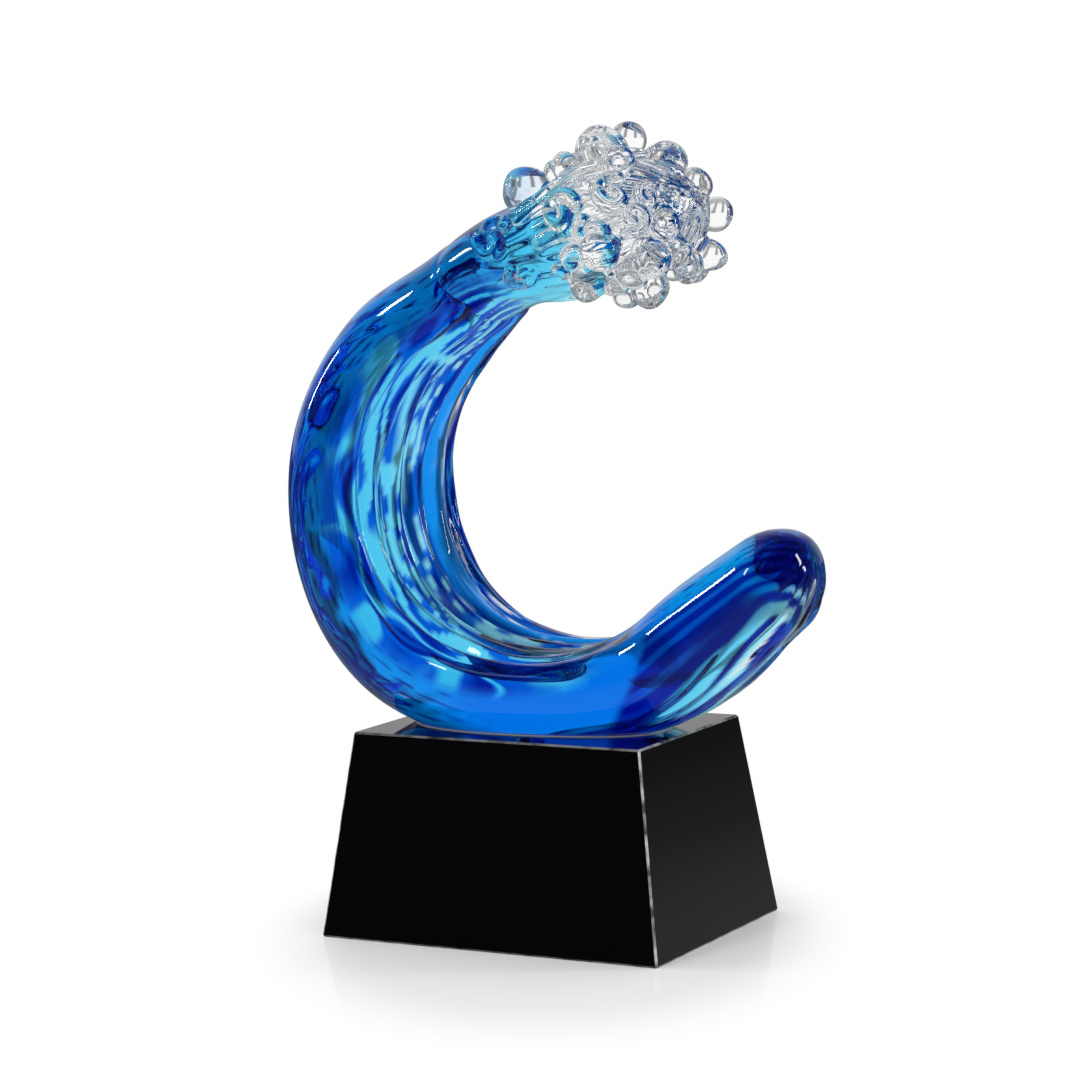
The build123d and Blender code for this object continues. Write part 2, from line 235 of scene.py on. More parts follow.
def tube_faces(rows, columns):
    """Quads of a closed tube of rows by columns, with fans to its two end points, which follow the grid."""
    j, row = np.arange(columns), columns * np.arange(rows)[:, None]
    k = (j + 1) % columns
    quads = np.stack([row[:-1] + j, row[:-1] + k, row[1:] + k, row[1:] + j], -1)
    low_end, high_end = np.full((2, columns), rows * columns) + [[0], [1]]
    low = np.stack([low_end, k, j], -1)
    high = np.stack([high_end, row[-1] + j, row[-1] + k], -1)
    return quads.reshape(-1, 4).tolist() + low.tolist() + high.tolist()


def tube_points(grid, low, high):
    """Grid of points with its two end points behind it."""
    return np.concatenate([grid.reshape(-1, 3), [low, high]])


# %% [markdown]
# ## Glass materials
#
# Clear glass is a plain refracting surface, tinted by a stain that a later step works out: colour that lies
# in the glass, together with painted shade and painted highlights in place of what refraction and reflection
# show.
# The blue core touches the clear glass with no air between, so light doesn't bend there: its surface has an
# index of one, and its colour comes from absorption on the way through. Absorption makes thin places cyan
# and thick places deep blue, as in the real glass.

# %% Glass
GLASS_INDEX, CORE_INDEX = 1.5, 1.0
CORE_ABSORB = (0.0, 0.80, 0.965)
CORE_DENSITY = 62.0


def node_material(name):
    """New material made of nodes."""
    material = bpy.data.materials.new(name)
    material.use_nodes = True
    return material


def glass_material(name, index, absorb=None, density=0.0):
    """Refracting glass, with plain absorption inside where a colour is given."""
    material = node_material(name)
    tree = material.node_tree
    shader = tree.nodes["Principled BSDF"]
    shader.inputs["Base Color"].default_value = (1, 1, 1, 1)
    shader.inputs["Roughness"].default_value = 0.0
    shader.inputs["IOR"].default_value = index
    shader.inputs["Transmission Weight"].default_value = 1.0
    if absorb is not None:
        volume = tree.nodes.new("ShaderNodeVolumeAbsorption")
        volume.inputs["Color"].default_value = (*absorb, 1)
        volume.inputs["Density"].default_value = density
        tree.links.new(volume.outputs["Volume"], tree.nodes["Material Output"].inputs["Volume"])
    return material


clear_glass = glass_material("clear_glass", GLASS_INDEX)
tree = clear_glass.node_tree
# The base colour is the stain: colour in the glass, with painted shade and painted highlights laid into it.
tint = tree.nodes.new("ShaderNodeAttribute")
tint.attribute_name = "stain_and_painted_light"
tree.links.new(tint.outputs["Color"], tree.nodes["Principled BSDF"].inputs["Base Color"])
blue_glass = glass_material("blue_glass", CORE_INDEX, CORE_ABSORB, CORE_DENSITY)
print("materials", clear_glass.name, blue_glass.name)

# %% [markdown]
# ## Ripples
#
# The inner face of the wave was tooled while hot, so it runs in flutes that waver, split and join. A sum of
# many long, narrow waves with seeded directions gives that: short across the face, long along it. Each use
# names its shortest and longest waves across and along, in millimetres.

# %% Ripples
RIPPLE_SEED, RIPPLE_WAVES = 11, 36


def ripple_field(at, depth, across_length, along_length, seed):
    """Sum of plane waves, about 1 high: wavelengths from across_length and along_length, seeded phases."""
    rng = np.random.default_rng(seed)
    total = np.zeros(np.broadcast(at, depth).shape)
    for _ in range(RIPPLE_WAVES):
        cross = 2 * np.pi / rng.uniform(*across_length)
        run = 2 * np.pi / rng.uniform(*along_length) * rng.choice([-1.0, 1.0])
        total += np.cos(cross * depth + run * at + rng.uniform(0, 2 * np.pi))
    return total / np.sqrt(RIPPLE_WAVES / 2)


# %% [markdown]
# ## Body of the clear skin
#
# The clear casing is one tube from the lobe to just past the neck, where it disappears inside the crest.
# Its inner face carries the flutes and the ripples, its lobe has streaks underneath, and its foot is ground
# flat where it stands on the block.

# %% Body of the skin
BODY_ROWS, BODY_REAR, BODY_FRONT, BODY_INNER = 270, 32, 72, 114
FOOT_GAP = 0.05
BODY_END, BODY_END_NOSE = NECK_START + 22.0, 14.0
INSET, INSET_START, INSET_STOP = 1.6, NECK_START + 4, NECK_START + 12
DRIFT_HEIGHT, DRIFT_WAVES = 0.3, ((7, 14), (80, 220))
FOLD_HEIGHT, FOLD_WAVES, FOLD_MEAN = 0.4, ((9, 18), (70, 200)), 0.8
THREAD_HEIGHT, THREAD_WAVES = 0.07, ((3, 5.5), (16, 50))
SWELL_HEIGHT, SWELL_WAVES, SWELL_MEAN = 0.1, ((18, 40), (30, 90)), 1.3
STREAK_HEIGHT, STREAK_WAVES, STREAK_FROM = 0.45, ((4, 9), (60, 160)), ring(-25)
REAR_HEIGHT, REAR_WAVES, REAR_ROUND = 0.06, ((3, 6.5), (8, 30)), 30.0
LEAST_TOOLED = 0.1
MOTTLED = [(LOBE_END, 0), (0, 0), (ring(25), 0), (ring(50), 1), (ring(130), 1), (NECK_START, 0.6),
           (CREST_END, 0)]
TOOLED = [(LOBE_END, 0), (LOBE_START, 0.25), (0, 0.75), (ring(45), 1), (ring(130), 1), (NECK_START, 0.7),
          (CREST_START, 0.3), (CREST_END, 0)]

body_at = np.linspace(LOBE_END, BODY_END, BODY_ROWS + 2)[1:-1, None]
body_turn = np.concatenate([np.linspace(0, np.pi / 2, BODY_REAR, endpoint=False),
                            np.linspace(np.pi / 2, np.pi, BODY_FRONT, endpoint=False),
                            np.linspace(np.pi, 2 * np.pi, BODY_INNER, endpoint=False)])[None]
backward, outward = np.cos(body_turn), np.sin(body_turn)
depth, deep, thick = section(body_at, body_turn)

on_face = rise(-outward, 0.0, 0.45) * np.maximum(along(TOOLED, body_at), LEAST_TOOLED)
drift = DRIFT_HEIGHT * ripple_field(body_at, depth, *DRIFT_WAVES, RIPPLE_SEED)
folds = FOLD_HEIGHT * (np.abs(ripple_field(body_at, depth, *FOLD_WAVES, RIPPLE_SEED + 2)) - FOLD_MEAN)
threads = THREAD_HEIGHT * ripple_field(body_at, depth, *THREAD_WAVES, RIPPLE_SEED + 3)
swells = SWELL_HEIGHT * (ripple_field(body_at, depth, *SWELL_WAVES, RIPPLE_SEED + 1) - SWELL_MEAN)
under_lobe = rise(outward, 0.0, 0.3) * rise(body_at, STREAK_FROM, 2 * STREAK_FROM)
streaks = STREAK_HEIGHT * ripple_field(body_at, depth, *STREAK_WAVES, RIPPLE_SEED + 4)
deep = deep - on_face * (drift + folds + threads) + swells + under_lobe * streaks

at_rear = rise(backward, 0.05, 0.45) * rise(outward, -0.25, 0.05) * along(MOTTLED, body_at)
rear = at_rear * REAR_HEIGHT * ripple_field(body_at, body_turn * REAR_ROUND, *REAR_WAVES, RIPPLE_SEED + 7)
depth, deep = depth + rear * backward, deep + rear * outward

close = closing(body_at, LOBE_END, LOBE_NOSE, BODY_END, BODY_END_NOSE)
close = close * (1 - INSET * rise(body_at, INSET_START, INSET_STOP) / (thick / 2))
deep = thick / 2 + (deep - thick / 2) * close + along(SHIFT, body_at)
depth = depth * close
body_grid = lay_out(np.broadcast_to(body_at, depth.shape), depth, deep)
body_grid[..., 2] = np.maximum(body_grid[..., 2], FOOT_LEVEL + FOOT_GAP)
ends = []
for end in np.array([[LOBE_END], [BODY_END]]):
    ends.append(lay_out(end, np.zeros(1), along(THICKNESS, end) / 2 + along(SHIFT, end))[0])
body_points, body_faces = tube_points(body_grid, *ends), tube_faces(*body_grid.shape[:2])
body_piece = new_piece("body_skin", body_points, body_faces, clear_glass)
print("body skin", len(body_piece.data.polygons), "faces")

# %% [markdown]
# ## Crest and foam
#
# On the crest, beads, drops, curls and strands of hot glass melt into the gather under them. Separate
# meshes would show every seam as a sheet of air, so each piece of foam is only a chain of round rods here,
# seated square on the crest. The rows give a form, how far past the neck it sits, its turn round the section
# and its spin in degrees, and its sizes in millimetres.

# %% Foam
FOAM_ROWS = [
    ("curl", 24.5, 167, 40, 7.4),
    ("drop", 32.0, 118, 0, 7.4, 9.2),
    ("curl", 31.0, 209, 150, 5.4),
    ("bead", 38.5, 97, 0, 4.2),
    ("bead", 51.0, 121, 0, 4.4),
    ("curl", 53.5, 171, 20, 7.2),
    ("drop", 64.0, 110, 0, 8.2, 9.6),
    ("drop", 65.0, 80, 0, 5.8, 10.6),
    ("bead", 69.0, 58, 0, 4.0),
    ("curl", 71.5, 163, 70, 7.2),
    ("drop", 78.5, 78, 0, 6.4, 7.4),
    ("drop", 79.5, 24, 0, 5.4, 5.8),
    ("drop", 80.0, 332, 0, 5.4, 8.0),
    ("drop", 74.5, 296, 0, 5.0, 9.6),
    ("curl", 79.6, 172, 0, 5.4),
    ("drop", 79.3, 216, 0, 4.6, 6.0),
    ("bead", 75.5, 246, 0, 5.4),
    ("bead", 61.5, 208, 0, 5.8),
    ("curl", 49.5, 211, 200, 6.8),
    ("bead", 50.7, 231, 0, 6.0),
    ("drop", 57.0, 240, 0, 5.2, 7.0),
    ("drop", 64.5, 237, 0, 5.6, 7.4),
    ("drop", 70.5, 236, 0, 5.4, 8.0),
    ("drop", 61.5, 264, 0, 5.8, 9.6),
    ("bead", 72.0, 272, 0, 5.4),
    ("curl", 62.0, 190, 120, 6.0),
    ("curl", 73.5, 195, 240, 5.6),
    ("bead", 72.0, 128, 0, 5.0),
    ("drop", 40.0, 50, 0, 5.6, 8.0),
    ("curl", 50.0, 10, 30, 6.4),
    ("bead", 64.0, 18, 0, 5.0),
    ("drop", 58.0, 318, 0, 4.6, 9.0),
    ("drop", 27.0, 76, 0, 5.6, 7.2),
    ("curl", 68.0, 350, 100, 5.4),
    ("bead", 47.0, 302, 0, 5.0),
    ("drop", 68.0, 300, 0, 4.6, 8.0),
    ("bead", 55.0, 62, 0, 4.6),
    ("curl", 35.0, 16, 200, 5.2),
    ("bead", 58.0, 344, 0, 5.0),
    ("drop", 51.0, 272, 0, 4.4, 7.0),
]
STRAND_ROWS = [
    (((34, 158), (54, 148), (68, 138)), 2.2),
    (((40, 142), (54, 133), (64, 128)), 1.9),
    (((42, 188), (51, 187), (58, 197)), 2.2),
    (((44, 34), (54, 36), (66, 36)), 2.2),
    (((40, 348), (48, 338), (56, 330)), 2.2),
]
BEAD_LIFT, DROP_ROOT, STALK_FOOT, STALK_NECK = 0.45, 2.0, 1.1, 0.75
CURL_LIFT, CURL_ROD, CURL_GAP, CURL_STEPS = 0.55, 0.31, 0.25, 20
SEAT_STEP = 0.05


def crest_point(at, turn):
    """One point of the plain crest."""
    at, turn = np.array([at]), np.array([turn])
    depth, deep, thick = section(at, turn)
    close = closing(at, LOBE_END, LOBE_NOSE, CREST_END, CREST_NOSE)
    return lay_out(at, depth * close, thick / 2 + (deep - thick / 2) * close + along(SHIFT, at))[0]


def seat(past_neck, degrees, spin):
    """Origin and axes of a seat on the crest: Z straight out of the glass, X along the wave, then spun."""
    at, turn = NECK_START + past_neck, np.radians(degrees)
    forward = crest_point(at + SEAT_STEP, turn) - crest_point(at - SEAT_STEP, turn)
    around = crest_point(at, turn + SEAT_STEP) - crest_point(at, turn - SEAT_STEP)
    z = np.cross(around, forward)
    z /= np.linalg.norm(z)
    x = forward / np.linalg.norm(forward)
    y = np.cross(z, x)
    c, s = np.cos(np.radians(spin)), np.sin(np.radians(spin))
    return crest_point(at, turn), np.stack([c * x + s * y, c * y - s * x, z])


def bead_rods(radius):
    """A bead is one ball, pressed on."""
    centre = np.array([[0, 0, BEAD_LIFT * radius]])
    return centre, centre, np.array([radius]), np.array([radius])


def drop_rods(radius, height):
    """A drop is a stalk that narrows, with a ball at its end."""
    low = np.array([[0, 0, -DROP_ROOT], [0, 0, height - radius]])
    high = np.array([[0, 0, height - radius], [0, 0, height - radius]])
    return low, high, np.array([radius * STALK_FOOT, radius]), np.array([radius * STALK_NECK, radius])


def curl_rods(radius):
    """A curl is a rod rolled up in two half circles, the second one tighter."""
    rod = radius * CURL_ROD
    wide, tight = radius - rod, radius - 2 * rod - CURL_GAP
    t = np.linspace(0, 2, CURL_STEPS + 1)
    size = np.where(t < 1, wide, tight)
    shift = np.where(t < 1, 0, tight - wide)
    lift = np.full_like(t, CURL_LIFT * rod)
    spots = np.stack([shift + size * np.cos(np.pi * t), size * np.sin(np.pi * t), lift], -1)
    thick = np.full(len(t), rod)
    return spots[:-1], spots[1:], thick[:-1], thick[1:]


def strand_rods(spots, radius):
    """A strand is a thin rod that lies along the crest, bent through three places on it."""
    low, middle, high = [seat(past_neck, degrees, 0)[0] for past_neck, degrees in spots]
    t = np.linspace(0, 1, CURL_STEPS + 1)[:, None]
    line = low * (1 - t) * (1 - 2 * t) + middle * 4 * t * (1 - t) + high * t * (2 * t - 1)
    thick = np.full(len(line), radius)
    return line[:-1], line[1:], thick[:-1], thick[1:]


FORMS = {"bead": bead_rods, "drop": drop_rods, "curl": curl_rods}
foam = []
for form, past_neck, degrees, spin, *sizes in FOAM_ROWS:
    origin, axes = seat(past_neck, degrees, spin)
    low, high, low_radius, high_radius = FORMS[form](*sizes)
    foam.append((origin + low @ axes, origin + high @ axes, low_radius, high_radius))
foam += [strand_rods(spots, radius) for spots, radius in STRAND_ROWS]
print("foam", len(foam), "pieces,", sum(len(rods[0]) for rods in foam), "rods")

# %% [markdown]
# ## Crest as a field
#
# The whole crest is one field: at every point in space, the distance to the nearest glass. Two pieces that
# come close run together with a small fillet, as hot glass does. The gather itself is a little lumpy and has
# streams along it, and the foam is bent a little out of true, because nothing made by hand is exact.

# %% Crest field
FILLET, REACH = 0.8, 3.0
LUMP_HEIGHT, LUMP_LENGTH, LUMP_WAVES = 0.4, (12.0, 20.0), 14
LUMPS_START, LUMPS_STOP = NECK_START + 14, NECK_START + 30
STREAM_HEIGHT, STREAM_WAVES = 0.3, ((5, 10), (24, 60))
WARP_HEIGHT = 0.3
ROOT_START, ROOT_NOSE = NECK_START - 6.0, 16.0
TINY, FAR_OFF = 1e-9, 1e3


def bend_pivot(start, bend):
    """Point about which the path bends back from a place on the ring."""
    spot, out = path(np.array([start]))
    return (spot + bend * out)[0]


def gather_field(points):
    """Distance to the crest gather: an oval tube along the path with round noses, sunk in the neck."""
    x, y, z = points.T
    angle = np.arctan2(RING_OFFSET - x, RING_HEIGHT - z) % (2 * np.pi)
    pivot, ring_end = bend_pivot(CREST_START, CREST_BEND), CREST_START / RING_RADIUS
    reach = np.hypot(x - pivot[0], z - pivot[2])
    turn = np.arctan2(x - pivot[0], z - pivot[2]) % (2 * np.pi)
    on_ring = angle < ring_end
    at = np.where(on_ring, angle * RING_RADIUS, CREST_START + (ring_end - turn) * CREST_BEND)
    deep = np.where(on_ring, np.hypot(x - RING_OFFSET, z - RING_HEIGHT) - RING_RADIUS, CREST_BEND - reach)
    held = np.clip(at, LOBE_END, CREST_END)
    half_thick, half_wide = along(THICKNESS, held) / 2, along(WIDTH, held) / 2
    across, thick = y / half_wide, (deep - along(SHIFT, held) - half_thick) / half_thick
    nose = np.where(at > CREST_START, CREST_NOSE, ROOT_NOSE)
    into = np.maximum(np.maximum(at - CREST_END + CREST_NOSE, ROOT_START + ROOT_NOSE - at) / nose, 0)
    far = np.sqrt(across ** 2 + thick ** 2 + into ** 2) + TINY
    steep = np.sqrt((across / half_wide) ** 2 + (thick / half_thick) ** 2 + (into / nose) ** 2) + TINY
    distance = (far * far - far) / steep
    lumpy = rise(at, LUMPS_START, LUMPS_STOP)
    around = np.arctan2(thick, across) * half_wide
    stream = ripple_field(at, around, *STREAM_WAVES, RIPPLE_SEED + 5)
    return distance - lumpy * (LUMP_HEIGHT * lump_field(points) + STREAM_HEIGHT * stream)


def lump_field(points, kind=0):
    """Sum of plane waves in space, about 1 high: seeded directions, phases and wavelengths."""
    rng = np.random.default_rng([RIPPLE_SEED + 6, kind])
    total = np.zeros(len(points))
    for _ in range(LUMP_WAVES):
        way = rng.normal(size=3)
        way *= 2 * np.pi / rng.uniform(*LUMP_LENGTH) / np.linalg.norm(way)
        total += np.cos(points @ way + rng.uniform(0, 2 * np.pi))
    return total / np.sqrt(LUMP_WAVES / 2)


def join(a, b):
    """Smaller of two distances, rounded where they are alike."""
    near = np.maximum(FILLET - np.abs(a - b), 0) / FILLET
    return np.minimum(a, b) - near * near * FILLET / 4


def rods_field(points, rods):
    """Distance to a chain of round rods that taper from end to end."""
    nearest = np.full(len(points), FAR_OFF)
    for low, high, low_radius, high_radius in zip(*rods):
        run = high - low
        offset = points - low
        share = np.clip(offset @ run / max(run @ run, TINY), 0, 1)
        gap = np.linalg.norm(offset - share[:, None] * run, axis=1)
        nearest = np.minimum(nearest, gap - low_radius - share * (high_radius - low_radius))
    return nearest


def crest_field(points):
    """Distance to the whole crest: the gather, joined with each piece of foam, a little out of true."""
    field = gather_field(points)
    bent = points + WARP_HEIGHT * np.stack([lump_field(points, k) for k in (1, 2, 3)], -1)
    for rods in foam:
        low = np.minimum(rods[0], rods[1]).min(0) - rods[2].max() - REACH
        high = np.maximum(rods[0], rods[1]).max(0) + rods[2].max() + REACH
        near = np.flatnonzero(((points > low) & (points < high)).all(1))
        field[near] = join(field[near], rods_field(bent[near], rods))
    return field


# %% [markdown]
# ## Mesh of the crest
#
# The glass ends where the field is zero. That surface could be marched in triangles, but a net of one point
# in each cell of a grid gives quads of an even size with far fewer slivers. The points then slide along the
# field's slope until they lie on the surface.

# %% Mesh of a field
SLOPE_STEP, LEAST_SLOPE, SETTLE_ROUNDS = 0.05, 0.2, 3


def surface_nets(field, low, step):
    """Closed surface where a field on a grid is zero: one point in each cell that it crosses, at the mean
    of the crossings on the cell's edges, and one quad round each edge that it crosses."""
    cells = tuple(n - 1 for n in field.shape)
    total, count = np.zeros(cells + (3,)), np.zeros(cells)
    edges = []
    for axis in range(3):
        a = np.take(field, np.arange(field.shape[axis] - 1), axis)
        b = np.take(field, np.arange(1, field.shape[axis]), axis)
        crossed = (a < 0) != (b < 0)
        share = np.where(crossed, a / np.where(crossed, a - b, 1), 0)
        others = [k for k in range(3) if k != axis]
        for p in (0, 1):
            for q in (0, 1):
                window = [slice(None)] * 3
                window[others[0]] = slice(p, cells[others[0]] + p)
                window[others[1]] = slice(q, cells[others[1]] + q)
                window = tuple(window)
                total[..., axis] += share[window]
                total[..., others[0]] += crossed[window] * p
                total[..., others[1]] += crossed[window] * q
                count += crossed[window]
        edges.append((crossed, a < 0, others))
    used = count > 0
    number = np.full(cells, -1)
    number[used] = np.arange(used.sum())
    points = (np.argwhere(used) + total[used] / count[used][:, None]) * step + low
    quads = []
    for axis, (crossed, inward, others) in enumerate(edges):
        spots = np.argwhere(crossed)
        inside = ((spots[:, others] > 0) & (spots[:, others] < np.array(cells)[others])).all(1)
        spots = spots[inside]
        first, second = np.eye(3, dtype=int)[others]
        ring_cells = [spots - first - second, spots - second, spots, spots - first]
        quad = np.stack([number[tuple(c.T)] for c in ring_cells], -1)
        flip = inward[tuple(spots.T)] == (axis == 1)
        quad[flip] = quad[flip][:, ::-1]
        quads.append(quad)
    return points, np.concatenate(quads)


def settle(points, field_of):
    """Points moved onto the surface of a field along its slope."""
    for _ in range(SETTLE_ROUNDS):
        steps = SLOPE_STEP * np.eye(3)
        slope = np.stack([field_of(points + step) - field_of(points - step) for step in steps], -1)
        slope /= 2 * SLOPE_STEP
        away_from = field_of(points) / np.maximum((slope ** 2).sum(1), LEAST_SLOPE)
        points = points - away_from[:, None] * slope
    return points


# %% Crest mesh
CREST_STEP = 0.8
CREST_LOW, CREST_HIGH = np.array([-42.0, -44.0, 172.0]), np.array([84.0, 44.0, 264.0])

counts = np.ceil((CREST_HIGH - CREST_LOW) / CREST_STEP).astype(int)
grid_lines = [CREST_LOW[k] + CREST_STEP * np.arange(counts[k]) for k in range(3)]
grid_points = np.stack(np.meshgrid(*grid_lines, indexing="ij"), -1)
values = crest_field(grid_points.reshape(-1, 3)).reshape(counts)
crest_points, crest_quads = surface_nets(values, CREST_LOW, CREST_STEP)
crest_points = settle(crest_points, crest_field)
crest_piece = new_piece("crest_skin", crest_points, crest_quads.tolist(), clear_glass)
print("crest skin", len(crest_quads), "faces")

# %% [markdown]
# ## One skin
#
# The body and the crest are one piece of fused glass. Left as two meshes, each would show the other's wall
# inside it, so a Boolean union takes these walls away. The skin stands for the casing, the gather and all of
# the foam.

# %% Union
union = body_piece.modifiers.new("union", "BOOLEAN")
union.operation, union.solver, union.object = "UNION", "MANIFOLD", crest_piece
graph = bpy.context.evaluated_depsgraph_get()
skin_mesh = bpy.data.meshes.new_from_object(body_piece.evaluated_get(graph))
body_piece.modifiers.clear()
body_piece.data = skin_mesh
body_piece.name = skin_mesh.name = "clear_skin"
bpy.data.objects.remove(crest_piece)
skin_mesh.polygons.foreach_set("use_smooth", np.ones(len(skin_mesh.polygons), bool))
skin_nodes = [name for name in nodes if name.startswith(("clear_casing", "crest_gather", "foam_"))]
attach(body_piece, "root")
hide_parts(*skin_nodes)
print("clear skin", len(skin_mesh.polygons), "faces for", len(skin_nodes), "nodes")

# %% [markdown]
# ## Stain and painted light
#
# The colour was laid on the front of the gather in trails, so it isn't even. The stain also paints in the
# light and shade that refraction and reflection would give. The inner face is a net of pale and deep trails
# with a plain blue band beside the clear back edge. Its pale streaks are partly painted highlights, and its
# navy lines are partly painted shade. The front has narrow dark ripples, painted shade in place of the
# rippled back seen through it. The lobe is almost navy, partly its own colour and partly painted shade, with
# pale streaks underneath. A picture could be wrapped round the glass, but formulas in the wave's own
# directions follow its bends. They give each point of the skin the colour that passes there. Light takes the
# square root of a base colour at each wall, so its square is stored.

# %% Places on the skin
LOBE_TOP = RING_HEIGHT + 20.0


def unroll(points):
    """Place along the wave, share of the depth towards the back, share of the thickness from the face."""
    x, y, z = points.T
    angle = np.arctan2(RING_OFFSET - x, RING_HEIGHT - z)
    at, deep = angle * RING_RADIUS, np.hypot(x - RING_OFFSET, z - RING_HEIGHT) - RING_RADIUS
    on_lobe = (angle < LOBE_START / RING_RADIUS) & (z < LOBE_TOP)
    on_crest = (angle > CREST_START / RING_RADIUS) | (angle < -np.pi / 2)
    for start, bend, here in ((LOBE_START, LOBE_BEND, on_lobe), (CREST_START, CREST_BEND, on_crest)):
        pivot, ring_end = bend_pivot(start, bend), start / RING_RADIUS
        turn = np.arctan2(x - pivot[0], z - pivot[2])
        turn = ring_end + (turn - ring_end + np.pi) % (2 * np.pi) - np.pi
        at = np.where(here, start + (ring_end - turn) * bend, at)
        deep = np.where(here, bend - np.hypot(x - pivot[0], z - pivot[2]), deep)
    at = np.clip(at, LOBE_END, CREST_END)
    share = np.clip(y / (along(WIDTH, at) / 2), -1, 1)
    return at, share, (deep - along(SHIFT, at)) / along(THICKNESS, at)


def blend(first, second, amount):
    """Colours from first to second by an amount for each point."""
    return first + (second - first) * np.clip(amount, 0, 1)[:, None]


skin_points = np.empty(len(skin_mesh.vertices) * 3, np.float32)
skin_mesh.vertices.foreach_get("co", skin_points)
skin_points = skin_points.reshape(-1, 3).astype(float) / MM
skin_at, skin_share, skin_out = unroll(skin_points)
skin_depth = skin_points[:, 1]
print("skin points", len(skin_points))

# %% Stain of the inner face, with painted highlights and painted shade
CLEAR, DEEP, NAVY = np.ones(3), np.array([0.01, 0.2, 0.78]), np.array([0.0, 0.03, 0.4])
PANEL, SIDE = np.array([0.02, 0.36, 0.96]), np.array([0.03, 0.56, 1.0])
WAVER, WAVER_WAVES = 0.8, ((10, 25), (25, 60))
TRAIL_WAVES, LINE_WAVES, NET_WAVES = ((7, 15), (70, 200)), ((2.6, 5), (45, 140)), ((5.5, 10), (45, 130))
FLUTE_PALE, TRAIL_PALE, LINE_PALE, NET_PALE, NET_SHARP = 0.25, 0.3, 0.4, 0.9, 2.2
FACE_PALE = [(-1.0, -0.4), (-0.85, 0.0), (-0.5, 0.5), (0.0, 0.4), (0.16, -0.1), (0.26, -1.1), (0.36, -1.0),
             (0.62, 0.1), (0.85, 0.5), (1.0, 1.2)]
PALE_RANGE, NAVY_RANGE = (-0.15, 0.45), (-0.357, -1.071)
BAND_RISE, BAND_FALL, BAND_AMOUNT = (0.32, 0.38), (0.62, 0.54), 0.9

bent = skin_depth + WAVER * ripple_field(skin_at, skin_depth, *WAVER_WAVES, RIPPLE_SEED + 24)
flutes = np.cos(flute_phase(skin_at, skin_share))
trails = ripple_field(skin_at, bent, *TRAIL_WAVES, RIPPLE_SEED + 20)
lines = ripple_field(skin_at, bent, *LINE_WAVES, RIPPLE_SEED + 21)
net = np.maximum(1 - NET_SHARP * np.abs(ripple_field(skin_at, bent, *NET_WAVES, RIPPLE_SEED + 25)), -1)
pale = FLUTE_PALE * flutes + TRAIL_PALE * trails + LINE_PALE * lines + NET_PALE * net
pale = pale + np.interp(skin_share, *np.array(FACE_PALE).T)
# Pale parts run towards clear and the lowest towards navy: partly the glass's own trails, partly painted
# highlights and painted shade in place of what the fluted face reflects and refracts.
face_colour = blend(DEEP, CLEAR, rise(pale, *PALE_RANGE))
face_colour = blend(face_colour, NAVY, rise(pale, *NAVY_RANGE))
band = rise(skin_share, *BAND_RISE) * rise(skin_share, *BAND_FALL)
face_colour = blend(face_colour, PANEL, BAND_AMOUNT * band)
print("pale share of the face", (pale > 0).mean().round(2))

# %% Stain of the front and the lobe, with painted shade
OUT_LENGTH, SHARE_LENGTH = 45.0, 20.0
MOTTLE_WAVES, MOTTLE_RANGE, MOTTLE_AMOUNT = ((2.4, 5), (8, 26)), (0.533, 1.2), 0.85
FOOT_LEFT, FOOT_RIGHT = (ring(30), ring(8)), (ring(-60), ring(-45))
BORDER, BORDER_WIDTH, BORDER_OUT = [(0.3, ring(-40)), (1.0, ring(-12))], 3.0, (0.2, 0.28)
DARK_WAVES, DARK_RANGE, DARK_AMOUNT = ((4, 8), (70, 180)), (0.2, 1.2), 0.8
TIP, TIP_RANGE, TIP_AMOUNT = (LOBE_END + 22, LOBE_END + 8), (-0.6, 0.4), 0.45
UNDERSIDE, UNDER_RANGE = (0.62, 0.82), (-0.077, 0.692)

# The dark mottle on the front is painted shade, in place of the rippled back of the glass seen through it.
around = skin_out * OUT_LENGTH - skin_share * SHARE_LENGTH
mottle = ripple_field(skin_at, around, *MOTTLE_WAVES, RIPPLE_SEED + 22)
side_colour = blend(SIDE, NAVY, MOTTLE_AMOUNT * rise(mottle, *MOTTLE_RANGE))
side_colour = blend(side_colour, PANEL, rise(skin_at, *FOOT_LEFT) * rise(skin_at, *FOOT_RIGHT))
# The lobe's navy is partly its own deep colour and partly painted shade for dark refractions, with a sharp
# border, paler streaks and a paler tip. Underneath, it turns clear in streaks.
streaks = ripple_field(skin_at, around, *DARK_WAVES, RIPPLE_SEED + 23)
lobe_colour = blend(NAVY, DEEP, DARK_AMOUNT * rise(streaks, *DARK_RANGE))
lobe_colour = blend(lobe_colour, SIDE, TIP_AMOUNT * rise(skin_at, *TIP) * rise(streaks, *TIP_RANGE))
lobe_colour = blend(lobe_colour, CLEAR, rise(skin_out, *UNDERSIDE) * rise(streaks, *UNDER_RANGE))
past_border = np.interp(skin_out, *np.array(BORDER).T) - skin_at
on_lobe = rise(past_border, 0.0, BORDER_WIDTH) * rise(skin_out, *BORDER_OUT)
side_colour = blend(side_colour, lobe_colour, on_lobe)
print("lobe share of the skin", (on_lobe > 0.5).mean().round(2))

# %% Stain and painted light on the points
INNER_OUT, INNER_END, FRONT_SHARE = (0.40, 0.24), (ring(-28), ring(-12)), (0.15, -0.35)
NECK_FADE = NECK_START + 12, NECK_START + 34

